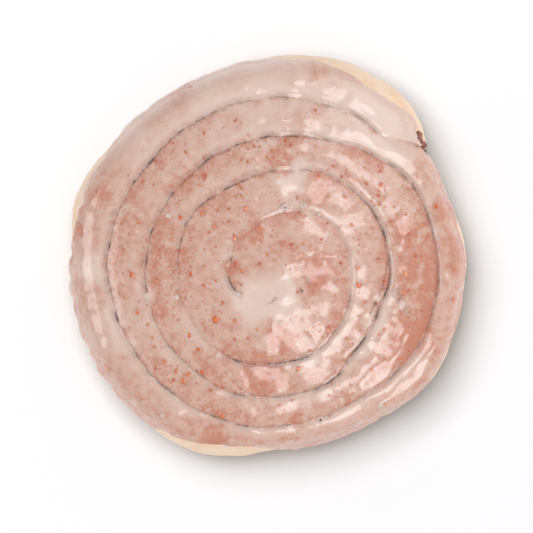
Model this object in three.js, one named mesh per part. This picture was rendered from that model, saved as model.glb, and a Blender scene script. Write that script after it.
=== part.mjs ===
// A glazed cinnamon roll, in millimetres with +Z up.
// One long strip of raised dough is rolled up on a thin layer of cinnamon filling. Icing coats the coil
// from above and runs down its side. The origin is the middle of the footprint, on the table.
import * as THREE from "three";

const { clamp, degToRad, lerp, radToDeg, smoothstep } = THREE.MathUtils;

// The coil from above. Each row is one turn of the strip's outer edge, from the outside in: how far that
// edge lies from the axis at every twelfth of a turn, anticlockwise from two o'clock (60 degrees).
const TWELFTH = 30;
const FIRST_TWELFTH = 60;
const TURN_REACH = [
  [65.3, 62.3, 59.7, 61.4, 62.5, 63.5, 64.8, 61.3, 61.2, 64.1, 62.1, 58.9],
  [51.1, 49.4, 47.4, 47.4, 49.9, 50.5, 52.1, 52.7, 52.4, 53.9, 52.1, 48.9],
  [41.1, 37.1, 35.5, 35.5, 37.7, 40.5, 42.4, 43.6, 42.4, 38.3, 37.4, 34.3],
  [30.2, 26.2, 24.9, 26.8, 27.9, 30.2, 33.0, 33.0, 32.1, 28.7, 24.9, 20.9],
  [16.5, 12.5, 10.0, 10.6, 11.5, 13.7, 14.3, 14.3, 9.4, 4.4, 2.0],
];

// The strip's two ends. Its tail lies on the outside, where the next turn dives in under it.
const TAIL_BEARING = 36;
const TAIL_TIP_REACH = 61;
const NOTCH_REACH = 58.7; // of the turn that dives in, beside the tail's tip
const DIVE_BEARING = 45;
const DIVE_REACH = 52.2;
const TAIL_DROOP = 4; // how much lower the tip stands
const TAIL_DROOP_SPAN = 27; // degrees
const EYE_RADIUS = 0.8; // the small open eye that the innermost turn closes round

// Heights
const CROWN_HEIGHT = 31; // of the dough at the axis
const RIM_HEIGHT = 26.5; // of the dough at RIM_REACH, if the dome ran out that far
const RIM_REACH = 62;
const SEAM_DEPTH = 4.2; // from the dome down to the dough's edge in the seam between two turns
const INNER_SEAM_DEPTH = 0.8; // the same at the axis
const SEAM_FADE_REACH = 16; // from here in, seams and unevenness die away
const CREST_POWER = 3; // how flat a turn's crest is before it rounds down to the seams
const UNEVENNESS = 0.45; // of the crests, up and down

// The free outer side bulges at a waist, and tucks in to a flat foot.
const SHOULDER_HEIGHT = 19.5;
const SHOULDER_INSET = 1.8;
const WAIST_HEIGHT = 12;
const FLANK_HEIGHT = 4.5;
const FLANK_INSET = 1.5;
const FOOT_INSET = 4.6;
const TAIL_DRAW = 0.4; // the most that the side draws in, as a share of the strip's width
const EDGE_HEIGHT = 1.2; // rounding of a pressed turn's bottom edges
const EDGE_SHARE = 0.13; // the same across, as a share of the strip's width

// Filling
const FILLING_THICKNESS = 1.0;
const CLEARANCE = 0.35; // between dough, filling and icing
const SLOT = FILLING_THICKNESS + 2 * CLEARANCE;
const FILLING_TUCK = 0.5; // how far it stays inside the dough's top and bottom edges

// Icing
const CREST_COAT = 1.1; // its thickness on the crests and down the side
const POOL_DEPTH = 2.1; // and in the seams, where it gathers
const DRIP_HEIGHT = 8.5; // where its lower edge hangs on the side
const DRIP_WAVE = 1.3;
const DRIPS_PER_TURN = 11;
const BARE_RISE = 7; // how much higher the edge is where the dough's side stays bare
const BARE_SECTORS = [
  { from: 45, to: 90 },
  { from: 153, to: 162 },
  { from: 243, to: 261 },
  { from: 360, to: 369 },
];
const BARE_FADE = 18; // degrees from a bare sector to the drips beside it

// Fineness
const STATION = 9; // degrees between the strip's cross-sections
const STATIONS_PER_TURN = 360 / STATION;
const CREST_PLACES = [-1, -0.8, -0.46, 0, 0.46, 0.8, 1]; // across a crest, from its outer to its inner seam

// Places of the free edge between the twelfths, where it bulges or draws in
const BULGES = [
  { wound: 40, reach: 63.3 },
  { wound: 48, reach: 65.8 },
  { wound: 70, reach: 65.6 },
  { wound: 163, reach: 63 },
  { wound: 247, reach: 65.6 },
  { wound: 322, reach: 64.8 },
  { wound: 345, reach: 62.5 },
  { wound: 374, reach: 59.6 },
];
// Measured places of the strip's edge, in degrees wound in from the right-hand side of the outermost turn.
const EDGE = [
  { wound: TAIL_BEARING, reach: TAIL_TIP_REACH },
  ...BULGES,
  ...TURN_REACH.flat().map((reach, i) => ({ wound: FIRST_TWELFTH + i * TWELFTH, reach })),
  { wound: 360 + TAIL_BEARING, reach: NOTCH_REACH },
  { wound: 360 + DIVE_BEARING, reach: DIVE_REACH },
].sort((a, b) => a.wound - b.wound);
const LAST_WOUND = EDGE.at(-1).wound;
const STATIONS = Math.round((LAST_WOUND - TAIL_BEARING) / STATION) + 1;
const STRIP_END = STATIONS - 3; // the dough stops just short of the axis, under the icing
const woundAt = (station) => TAIL_BEARING + station * STATION;

/** How far the strip's outer edge lies from the axis: a smooth cubic through the measured places. */
function edgeReach(wound) {
  const last = EDGE.length - 1;
  const next = EDGE.findIndex((place, i) => i === last || (i > 0 && place.wound > wound));
  const i = next - 1;
  const slope = (a, b) => (EDGE[b].reach - EDGE[a].reach) / (EDGE[b].wound - EDGE[a].wound);
  const start = slope(Math.max(i - 1, 0), i + 1);
  const end = slope(i, Math.min(i + 2, last));
  const span = EDGE[i + 1].wound - EDGE[i].wound;
  const t = (wound - EDGE[i].wound) / span;
  return (
    EDGE[i].reach * (1 + 2 * t) * (1 - t) ** 2 +
    EDGE[i + 1].reach * (3 - 2 * t) * t ** 2 +
    span * (start * t * (1 - t) ** 2 + end * (t - 1) * t ** 2)
  );
}

/** 1 where the waist is bare, 0 where icing hangs over it. */
function bareness(wound) {
  const sectors = BARE_SECTORS.map(({ from, to }) => {
    const away = Math.abs(((wound - (from + to) / 2 + 540) % 360) - 180) - (to - from) / 2;
    return 1 - clamp(away / BARE_FADE, 0, 1);
  });
  return Math.max(...sectors);
}

const domeHeight = (reach) => CROWN_HEIGHT - (CROWN_HEIGHT - RIM_HEIGHT) * (reach / RIM_REACH) ** 2;

/** Height of the dough's edge in the seam, which grows shallow towards the axis. */
function seamHeight(wound) {
  const reach = edgeReach(wound);
  return domeHeight(reach) - lerp(INNER_SEAM_DEPTH, SEAM_DEPTH, smoothstep(reach, 0, SEAM_FADE_REACH));
}

/** 1 along the free outer side, 0 where the next turn lies against the strip. */
const freeSide = (wound) => 1 - smoothstep(wound, 342 + TAIL_BEARING, 360 + DIVE_BEARING);

/** Reach of the dough's outer side: under the icing on the free side, and beside the filling further in. */
function outerReach(wound) {
  const pressed = smoothstep(wound, 342 + TAIL_BEARING, 360 + TAIL_BEARING);
  return edgeReach(wound) - lerp((CLEARANCE + CREST_COAT) * (1 - bareness(wound)), SLOT / 2, pressed);
}

function innerReach(wound) {
  return wound + 360 <= LAST_WOUND ? edgeReach(wound + 360) + SLOT / 2 : EYE_RADIUS;
}

/** How far the free side draws in from its waist, by an inset that the narrow tail can't take in full. */
function drawnIn(wound, inset) {
  return freeSide(wound) * Math.min(inset, (outerReach(wound) - innerReach(wound)) * TAIL_DRAW);
}

function crestHeight(wound) {
  const turned = degToRad(wound);
  const middle = (outerReach(wound) + innerReach(wound)) / 2;
  const waves = Math.sin(2.3 * turned + 1) + 0.6 * Math.sin(5.7 * turned);
  const uneven = UNEVENNESS * waves * smoothstep(middle, 0, SEAM_FADE_REACH);
  const droop = TAIL_DROOP * (1 - smoothstep(wound, TAIL_BEARING, TAIL_BEARING + TAIL_DROOP_SPAN));
  return domeHeight(middle) + uneven - droop;
}

/** A place on the strip's top as [reach, height]: across runs from -1 at the outer seam to 1 at the inner. */
function crestPoint(wound, across) {
  const crest = crestHeight(wound);
  const outerSeam = lerp(seamHeight(wound), SHOULDER_HEIGHT, freeSide(wound));
  const innerSeam = wound + 360 <= LAST_WOUND ? seamHeight(wound + 360) : crest - INNER_SEAM_DEPTH;
  const drop = crest - (across < 0 ? outerSeam : innerSeam);
  const outer = outerReach(wound) - drawnIn(wound, SHOULDER_INSET);
  const reach = lerp(outer, innerReach(wound), (1 + across) / 2);
  return [reach, crest - drop * Math.abs(across) ** CREST_POWER];
}

/** The strip's cross-section as [reach, height] pairs, from its outer foot over the crest to its inner foot. */
function doughSection(wound) {
  const free = freeSide(wound);
  const outer = outerReach(wound);
  const inner = innerReach(wound);
  const edge = EDGE_SHARE * (outer - inner);
  return [
    [outer - edge * (1 - free) - drawnIn(wound, FOOT_INSET), 0],
    [outer - drawnIn(wound, FLANK_INSET), lerp(EDGE_HEIGHT, FLANK_HEIGHT, free)],
    [outer, WAIST_HEIGHT],
    ...CREST_PLACES.map((across) => crestPoint(wound, across)),
    [inner, EDGE_HEIGHT],
    [inner + edge, 0],
  ];
}

function fillingSection(wound) {
  const middle = edgeReach(wound);
  const shown = 1 - smoothstep(wound, 360 + TAIL_BEARING, 360 + DIVE_BEARING); // at the tail, below the icing
  const top = lerp(seamHeight(wound) - FILLING_TUCK, WAIST_HEIGHT - FILLING_TUCK, shown);
  const outer = middle + FILLING_THICKNESS / 2;
  const inner = middle - FILLING_THICKNESS / 2;
  return [
    [outer, FILLING_TUCK],
    [outer, top],
    [inner, top],
    [inner, FILLING_TUCK],
  ];
}

const place = (wound, [reach, height]) =>
  new THREE.Vector3(reach * Math.cos(degToRad(wound)), reach * Math.sin(degToRad(wound)), height);

function meshGeometry(points, triangles) {
  const geometry = new THREE.BufferGeometry().setFromPoints(points);
  geometry.setIndex(triangles);
  geometry.computeVertexNormals();
  return geometry;
}

/** Sweeps a cross-section in along the coil, from one station to another, and closes both ends. */
function sweepCoil(section, from, to) {
  const points = [];
  const triangles = [];
  const size = section(woundAt(from)).length;
  for (let station = from; station <= to; station++) {
    const wound = woundAt(station);
    points.push(...section(wound).map((point) => place(wound, point)));
  }
  for (let row = 0; row < to - from; row++) {
    for (let i = 0; i < size; i++) {
      const a = row * size + i;
      const b = row * size + ((i + 1) % size);
      triangles.push(a, a + size, b + size, a, b + size, b);
    }
  }
  const closeEnd = (first, facesBack) => {
    const corners = points.slice(first, first + size);
    const middle = corners.reduce((sum, corner) => sum.add(corner), new THREE.Vector3()).divideScalar(size);
    const hub = points.push(middle) - 1;
    for (let i = 0; i < size; i++) {
      const edge = [first + i, first + ((i + 1) % size)];
      triangles.push(hub, ...(facesBack ? edge : edge.reverse()));
    }
  };
  closeEnd(0, true);
  closeEnd((to - from) * size, false);
  return meshGeometry(points, triangles);
}

/** Height of the icing's lower edge on the side. */
function dripHeight(wound) {
  const bare = bareness(wound);
  const wave = DRIP_WAVE * Math.sin(DRIPS_PER_TURN * degToRad(wound)) * (1 - 2 * bare) ** 2;
  return DRIP_HEIGHT + BARE_RISE * bare + wave;
}

/** Reach of the dough's free side at a height between its flank and its shoulder. */
function sideReach(wound, height) {
  const reach = outerReach(wound);
  if (height < WAIST_HEIGHT) {
    return reach - (drawnIn(wound, FLANK_INSET) * (WAIST_HEIGHT - height)) / (WAIST_HEIGHT - FLANK_HEIGHT);
  }
  const [shoulderReach, shoulderHeight] = crestPoint(wound, -1);
  return lerp(reach, shoulderReach, (height - WAIST_HEIGHT) / (shoulderHeight - WAIST_HEIGHT));
}

/** A point of the icing's upper or lower face over a strip's crest. */
function icingCrestPoint(wound, across, lift, seamLift) {
  const free = across < 0 ? freeSide(wound) : 0;
  const [reach, height] = crestPoint(wound, across);
  const lean = free * Math.abs(across) ** 2; // on the free side the coat stands outwards, not up
  const inSeam = across === -1 ? 1 - free : 0;
  const out = lerp(reach, edgeReach(wound), inSeam) + lift * lean;
  return [out, height + lerp(lift, seamLift, inSeam) * (1 - 0.8 * lean)];
}

/** Heights of the icing's rows down the side, below the shoulder. */
function skirtHeights(wound) {
  const drip = dripHeight(wound);
  return [drip < WAIST_HEIGHT ? WAIST_HEIGHT : (drip + SHOULDER_HEIGHT) / 2, drip];
}

/** The coat of icing: two faces over the whole coil, joined round their lower edge. */
function icingGeometry() {
  const points = [];
  const triangles = [];
  const columns = CREST_PLACES.length - 1;
  const last = STATIONS - 1;

  // The edge of the coil: once round its free side, then in across the face of the tail's tip.
  const rim = [];
  for (let station = 0; station <= STATIONS_PER_TURN; station++) rim.push({ station, column: 0 });
  for (let column = columns - 1; column > 0; column--) rim.push({ station: 0, column });

  // Beside the tail's tip the coat stands back along the coil, clear of the tip's own face.
  const placeCoat = (station, point, lift) => {
    const atTip = station === 0 || station === STATIONS_PER_TURN;
    return place(woundAt(station) - (atTip ? radToDeg(lift / point[0]) : 0), point);
  };

  const makeFace = (lift, seamLift) => {
    const crest = [];
    for (let station = 0; station <= last; station++) {
      const wound = woundAt(station);
      const row = CREST_PLACES.slice(0, columns).map((across) => icingCrestPoint(wound, across, lift, seamLift));
      crest.push(row.map((point) => points.push(placeCoat(station, point, lift)) - 1));
    }
    const centre = points.push(new THREE.Vector3(0, 0, crestHeight(LAST_WOUND) + lift)) - 1;
    // A strip's inner seam is the next turn's outer one, and the innermost turn closes on the axis.
    const crestIndex = (station, column) => {
      if (column < columns) return crest[station][station === last ? 0 : column];
      return station + STATIONS_PER_TURN <= last ? crest[station + STATIONS_PER_TURN][0] : centre;
    };
    const skirt = rim.map(({ station, column }) => {
      const wound = woundAt(station);
      const rows = skirtHeights(wound).map((height) => {
        const reach = column === 0 ? sideReach(wound, height) + lift : crestPoint(wound, CREST_PLACES[column])[0];
        return points.push(placeCoat(station, [reach, height], lift)) - 1;
      });
      return [crestIndex(station, column), ...rows];
    });
    return { crestIndex, skirt };
  };

  const addQuad = (a, b, c, d) => {
    for (const triangle of [[a, b, c], [a, c, d]]) {
      if (new Set(triangle).size === 3) triangles.push(...triangle);
    }
  };
  const addFace = ({ crestIndex, skirt }, facesUp) => {
    const add = (a, b, c, d) => (facesUp ? addQuad(a, b, c, d) : addQuad(a, d, c, b));
    for (let station = 0; station < last; station++) {
      for (let column = 0; column < columns; column++) {
        add(
          crestIndex(station, column),
          crestIndex(station + 1, column),
          crestIndex(station + 1, column + 1),
          crestIndex(station, column + 1),
        );
      }
    }
    // On the side each quad is split along its more level diagonal, which keeps the coat off the waist.
    const rise = (a, b) => Math.abs(points[a].z - points[b].z);
    skirt.forEach((rows, i) => {
      const next = skirt[(i + 1) % skirt.length];
      for (let row = 1; row < rows.length; row++) {
        const [a, b, c, d] = [rows[row], next[row], next[row - 1], rows[row - 1]];
        if (rise(a, c) < rise(b, d)) add(a, b, c, d);
        else add(b, c, d, a);
      }
    });
  };

  const under = makeFace(CLEARANCE, CLEARANCE);
  const over = makeFace(CLEARANCE + CREST_COAT, CLEARANCE + POOL_DEPTH);
  addFace(over, true);
  addFace(under, false);
  rim.forEach((_, i) => {
    const next = (i + 1) % rim.length;
    addQuad(under.skirt[i].at(-1), under.skirt[next].at(-1), over.skirt[next].at(-1), over.skirt[i].at(-1));
  });
  // The innermost station uses one of its points, and the rest are dropped.
  const used = [...new Set(triangles)];
  const renumbered = new Map(used.map((index, i) => [index, i]));
  return meshGeometry(
    used.map((index) => points[index]),
    triangles.map((index) => renumbered.get(index)),
  );
}

const doughFinish = new THREE.MeshStandardMaterial({ color: 0xf0d5ab, roughness: 0.75, metalness: 0 });
const fillingFinish = new THREE.MeshStandardMaterial({ color: 0x5a2f22, roughness: 0.6, metalness: 0 });
const icingFinish = new THREE.MeshStandardMaterial({ color: 0xdcb9ab, roughness: 0.25, metalness: 0 });

function namedMesh(name, geometry, finish) {
  const mesh = new THREE.Mesh(geometry, finish);
  mesh.name = name;
  return mesh;
}

const roll = new THREE.Group();
roll.add(namedMesh("dough", sweepCoil(doughSection, 0, STRIP_END), doughFinish));
roll.add(namedMesh("filling", sweepCoil(fillingSection, STATIONS_PER_TURN, STRIP_END), fillingFinish));
roll.add(namedMesh("icing", icingGeometry(), icingFinish));

// The coil's axis isn't quite the middle of its footprint.
const footprint = new THREE.Box3().setFromObject(roll).getCenter(new THREE.Vector3());
roll.position.set(-footprint.x, -footprint.y, 0);

export default roll;
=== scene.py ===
import math
import random
from collections import namedtuple

import bmesh
import bpy
from mathutils import Matrix, Vector, noise
from mathutils.bvhtree import BVHTree


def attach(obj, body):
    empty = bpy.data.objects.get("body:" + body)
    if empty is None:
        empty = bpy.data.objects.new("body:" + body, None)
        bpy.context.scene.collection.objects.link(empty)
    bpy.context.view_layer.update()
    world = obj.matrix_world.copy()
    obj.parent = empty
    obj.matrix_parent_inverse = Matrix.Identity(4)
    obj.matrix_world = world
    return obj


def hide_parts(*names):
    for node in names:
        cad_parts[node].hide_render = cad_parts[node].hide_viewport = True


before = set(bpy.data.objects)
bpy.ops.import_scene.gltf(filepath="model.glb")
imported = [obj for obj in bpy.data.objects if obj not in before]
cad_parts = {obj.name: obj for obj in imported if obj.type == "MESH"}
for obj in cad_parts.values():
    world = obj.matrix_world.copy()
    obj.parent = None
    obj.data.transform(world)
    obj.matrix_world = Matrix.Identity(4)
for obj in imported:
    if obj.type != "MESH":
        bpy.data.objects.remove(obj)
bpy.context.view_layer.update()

MM = 0.001
TURN = 360
DOWN = Vector((0, 0, -1))

# Smooth unevenness: how long and how high its swells are, and the layer that gives it its own pattern
Swell = namedtuple("Swell", "length height layer")
LAYER_STEP = 7.3

# A smooth step in a finish: from one value to another, as what it reads goes from low to high
Step = namedtuple("Step", "low high at_low at_high", defaults=(0.0, 1.0))

# Noise in a finish: patches in a metre, how many finer layers it has, and how strong they are
Grain = namedtuple("Grain", "scale detail roughness", defaults=(3.0, 0.55))
SWING_GAIN = 4  # it lies round 0.5, mostly within a quarter either way

# Which sockets of a Mix node are for colours
MIX_FIRST = 6
MIX_SECOND = 7
MIX_RESULT = 2

# The coil as the solids have it, but for its last place, where the icing closes the eye: how far the
# strip's outer edge lies from the axis, one row for each turn from the outside in, at every twelfth of a
# turn anticlockwise from one o'clock (60 degrees). A place on the strip is given by the angle that it is
# wound in by.
TWELFTH = 30
FIRST_TWELFTH = 60
TURN_REACH = [
    [65.3, 62.3, 59.7, 61.4, 62.5, 63.5, 64.8, 61.3, 61.2, 64.1, 62.1, 58.9],
    [51.1, 49.4, 47.4, 47.4, 49.9, 50.5, 52.1, 52.7, 52.4, 53.9, 52.1, 48.9],
    [41.1, 37.1, 35.5, 35.5, 37.7, 40.5, 42.4, 43.6, 42.4, 38.3, 37.4, 34.3],
    [30.2, 26.2, 24.9, 26.8, 27.9, 30.2, 33.0, 33.0, 32.1, 28.7, 24.9, 20.9],
    [16.5, 12.5, 10.0, 10.6, 11.5, 13.7, 14.3, 14.3, 9.4, 4.4, 0.5],
]
EYE_REACH = 0.5
TAIL_WOUND = 36
NOTCH_WOUND = 396
LAST_WOUND = 1800
END_PLACES = [(TAIL_WOUND, 61.0), (NOTCH_WOUND, 58.7), (405, 52.2)]  # the tail's tip, its notch, the dive

# Places of the free edge between the twelfths, where it bulges or draws in
BULGES = [
    (40, 63.3), (48, 65.8), (70, 65.6), (163, 63.0), (247, 65.6), (322, 64.8), (345, 62.5), (374, 59.6),
]

SEAM_PLACES = [(1028, 40.2), (1036, 38.9)]  # where the icing's seam cuts in from the solids' coil
PRESSED_SPAN = (380, 408)  # over which the free side ends, as the next turn comes to lie against it
AXIS = (0.03, -0.45)  # the coil's axis, beside the middle of its footprint

# The free side: its heights, and how far it stands in from the outline
RIM_REACH = 62.0  # on average
SHOULDER_HEIGHT = 20.0
WAIST_HEIGHT = 12.0
FLANK_HEIGHT = 4.5
FLANK_INSET = 1.5
SHOULDER_INSET = 1.6
SIDE_RUN = 5.5  # from the free shoulder in to the outer crest
RIM_ROUND = 3  # the power of the round edge over that run

# The photograph
PHOTO_SIDE = 533
PHOTO_AXIS = (268.5, 257.0)
MM_PER_PIXEL = 0.3117

# Unevenness of the icing's edge
EDGE_WANDER = Swell(8, 0.7, 1)  # of a strip rolled up by hand
RIM_LUMPS = Swell(3, 0.35, 2)
SEAM_LUMPS = Swell(3, 0.12, 2)
RAGGED_RIM = Swell(3.2, 0.8, 3)
RAGGED_BEARING = 188
RAGGED_SPAN = (14, 40)
STEADY_END = 9  # it starts within this angle of the tail's tip and notch
WANDER_REACH = (3, 12)  # and over this reach, out from the axis

# Icing mesh
STATION = 0.9  # degrees between its rows
COLUMNS = [
    0, 0.02, 0.042, 0.07, 0.105, 0.15, 0.205, 0.27, 0.345, 0.425, 0.51, 0.595, 0.675, 0.745, 0.805, 0.855,
    0.9, 0.935, 0.962, 0.982, 1,
]
SKIRT_ROWS = 12
ICING_LAYERS = ("glaze", "brown", "calm", "away", "side", "dark", "mark")
ICING_SHELL = 0.6
ICING_WELD = 1e-7  # in metres
KEY_DIGITS = 7  # that tell its vertices apart, in metres
EYE_HOLE = 5.0  # the hole at the axis lies within this reach

# Icing relief
ICING_CROWN = 32.4
ICING_DROP = 6.2  # from the crown to the rim
TERRACE_POWER = 2.6  # how soon a strip levels out, going in from its outer seam
SLOPE_BEARING = -50
SLOPE_POWER = 1.1  # the same at this bearing, where the strips slope evenly
RIM_POWER = 1.5  # and there on the outer turn
POOL_WOUND = 668  # where the second turn has a flat pool, which slopes down outside it
POOL_SPAN = (40, 85)
POOL_POWER = 2.3
RIM_TIGHTER = 0.3  # how much shorter the rim's round edge is where the strips slope evenly
SEAM_SINK = 0.95  # of the seams below the strips
SHOULDER_ROUND = 2.2
SHOULDER_RUN = 3.0  # from a seam up to the strip inside it
SHOULDER_SHARE = 0.7  # the most of a strip's width that this takes
GROOVE_RUN = 9.5  # the same run where the seam is a groove
GROOVE_BEARING = -10
GROOVE_POWER = 4
LIP_RUN = 1.7  # from a strip's level part down into the seam inside it
LIP_SHARE = 0.3
LIP_ROUND = 2
LEAST_WIDTH = 0.01
CREASE = 0.25  # how much deeper a dark seam is, in its middle
CREASE_RUN = 0.7
RIDGE = 0.16  # of the glaze that stands along the outside of a groove
RIDGE_BEARING = 35
RIDGE_PLACE = 1.5
RIDGE_WIDTH = 0.8
LEFT_BEARING = 186  # where the rim slopes down in a broad even band
LEFT_SPAN = (10, 24)
LEFT_STEEP = (0.58, 3.0, 2.0)  # the share of the rim's drop that is steep there, its run and its power
LEFT_EVEN = (0.42, 6.0, 1.1)  # and the share that slopes evenly
LEFT_WANDER = Swell(11, 0.22, 14)
BROAD_LUMPS = Swell(15, 0.4, 10)
MIDDLING_LUMPS = Swell(6, 0.2, 11)
SMALL_LUMPS = Swell(3, 0.07, 12)
FOLDS = Swell(7, 0.28, 13)  # along the rim at the lower right
FOLD_NARROWER = 1.75  # how much shorter they are across the rim
FOLD_PLACE = (41, -34)  # the middle of the folds, from the axis
FOLD_SPAN = (12, 30)
TAIL_DROOP = 3.0  # how much lower the tail's tip stands
TAIL_DROOP_SPAN = 27

# The icing's skirt down the side
DRIP_HEIGHT = 8.5
DRIP_REACH = 60.0
LONG_DRIPS = Swell(9, 1.6, 5)
SHORT_DRIPS = Swell(4, 0.9, 6)
BARE_ALONE = 0.7  # a bare band this wide sets the height of the icing's edge alone
BARE_DRAWS_IN = 0.9  # and a wider one than this draws the rim in
TIP_ANGLE = 0.2  # within which a place lies on the end face of the tail
TIP_MARGIN = 0.2  # and how far inside the rim it lies
RIM_BELOW_CREST = 0.3  # the least that the icing's rim lies below the side's crest
SKIRT_LEAST = 0.6  # the least height of the skirt
SKIRT_LUMPS = Swell(6, 0.4, 50)
SKIRT_SQUEEZE = 1.2  # how much shorter these are up the side than along it
SKIRT_SMALL_LUMPS = Swell(2.6, 0.12, 51)
SKIRT_LUMP_END = 0.8  # the share of the way down where they end
EDGE_COAT = 1.5  # how far the lower edge tucks in
TUCK_POWER = 5
SLOPE_STEP = 0.2  # over which the side's slope is measured

# Glaze along the strips: how thick it is, and how browned what shows through
GLAZE_THIN = 0.1
GLAZE_POOL = 0.5
GLAZE_PATCH = 0.8
POOL_RUN = (0.8, 5.5)  # outwards from a seam
POOL_WANDER = Swell(5, 0.5, 30)
SEAM_BROWN = 0.55
SEAM_BROWN_RUN = (0.3, 6.5)  # inwards from a seam
BROWN_WANDER = Swell(7, 0.6, 31)
RIM_BROWN = 0.42
RIM_BROWN_RUN = (0.0, 4.5)
SEAM_DARKENING_BEARING = 120  # where the glaze along the outside of the seams is browner and less pale most
SEAM_BORDER_POWER = 2
SEAM_BORDER_RUN = (0.4, 3.4)
SEAM_DARKENING_BROWN = 0.4
WASH_BEARING = 235  # where glaze hides the browned dough along them most
WASH = 0.6
SEAM_REACH = 5.0  # how far from a seam its shade is worked out
SIDE_BLEND = 0.6  # from a seam's own line to where the strip beside it is reached

# Dough and filling
SOLID_WELD = 1e-6  # in metres
DOUGH_LEVELS = 2
DOUGH_SWELL = 0.8
WAIST_SWELL = [(0, 0.0), (296, 0.0), (310, 1.3), (334, 1.3), (344, 0.0), (360, 0.0)]  # more, by bearing
SWELL_DEPTH = (2.0, 3.5)  # in from the outline
SWELL_FOOT = (1.5, 4.0)
SWELL_TOP = (19, 24)
DOUGH_SETTLE = 0.9
SETTLE_HEIGHTS = (23, 26)
WRINKLE_RISE = 1.2
WRINKLE_LENGTH = 7.0
WRINKLE_DEPTH = 3
WRINKLE_HEIGHTS = (1.0, 5.0)
FILLING_END_REACH = 56.0  # only its outer end lies further out
FILLING_LIFT = 4.0

# Height from which small things are set down on the icing
DROP_HEIGHT = 60

# Crumbs of filling in the notch beside the tail: the ends of their row and their spread in pixels
CRUMBS = 24
CRUMB_SEED = 17
CRUMB_START = (417, 132)
CRUMB_END = (424, 150)
CRUMB_HEIGHTS = (13.0, 22.0)  # of those with no icing under them
CRUMB_SPREAD = 1.4
CRUMB_RADIUS = (0.35, 0.95)
CRUMB_RISE = 0.8
CRUMB_SUNK = 0.0  # their middles lie on the icing
CRUMB_LEVELS = 3

# Orange spots
SPOT_SEED = 41
SPOT_RADIUS = 0.6  # of a marked spot's width
SPOT_RISE = 0.3
SPOT_SUNK = 0.5  # how deep a spot's middle lies in the glaze, in halves of its height
SPOT_SIDES = 12
SPOT_RINGS = 6
SPOT_HALO = 0.5
SPOT_HALO_REACH = (0.8, 2.4)  # in halves of the spot's width
FINE_SPOTS = 380
FINE_SPOT_REACH = 53
FINE_SPOT_RADIUS = (0.16, 0.42)
FINE_SPOT_PATCH = 0.15  # the thickest patch of glaze that they show through
FINE_SPOT_CLUSTERS = Swell(9, 1.0, 41)
FINE_SPOT_STRAY = 0.2

# Unevenness of spots and crumbs, in radii
BLOB_NARROW = (0.65, 1.0)
BLOB_LUMPS = Swell(1, 0.4, 40)
BLOB_WAVES = 1.2
BLOB_SHIFTS = 50  # how far apart the patterns of two of them may lie

# How dark each stretch of the seam is, by degrees wound in
SEAM_STRENGTH = [
    (396, 0.1), (404, 0.15), (412, 0.6), (440, 0.6), (470, 0.7), (480, 0.95), (575, 0.9), (600, 0.6),
    (690, 0.6), (720, 0.65), (790, 0.6), (812, 0.9), (905, 0.85), (925, 0.5), (965, 0.5), (980, 0.95),
    (1092, 0.95), (1110, 0.6), (1170, 0.65), (1180, 0.8), (1245, 0.75), (1262, 0.4), (1318, 0.4),
    (1328, 1.0), (1370, 1.0), (1385, 0.5), (1412, 0.55), (1424, 0.12), (1482, 0.12), (1500, 0.45),
    (1535, 0.45), (1550, 0.3), (1615, 0.3), (1628, 0.8), (1672, 0.8), (1682, 0.0), (LAST_WOUND, 0.0),
]

# And how deep, as a share of its full depth
SEAM_DEPTH = [
    (396, 0.3), (408, 0.4), (425, 0.8), (445, 1.0), (1530, 1.0), (1560, 0.6), (1630, 0.9), (1672, 0.8),
    (1695, 0.0), (LAST_WOUND, 0.0),
]

# How wide the bare dough shows below the icing, seen from above, by bearing
BARE_WIDTH = [
    (0, 0.7), (8, 0.6), (15, 0.0), (30, 0.0), (36, 1.0), (42, 2.2), (52, 4.4), (60, 4.0), (68, 3.3),
    (80, 1.3), (92, 0.3), (99, 0.0), (136, 0.0), (142, 0.5), (151, 1.6), (157, 1.0), (164, 2.4),
    (171, 1.9), (178, 0.6), (186, 0.0), (235, 0.0), (241, 1.8), (248, 3.4), (255, 3.7), (262, 3.1),
    (272, 1.0), (280, 0.2), (290, 0.0), (298, 0.2), (312, 0.9), (325, 1.3), (333, 0.9), (345, 0.4),
    (352, 0.7), (360, 0.7),
]
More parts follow.
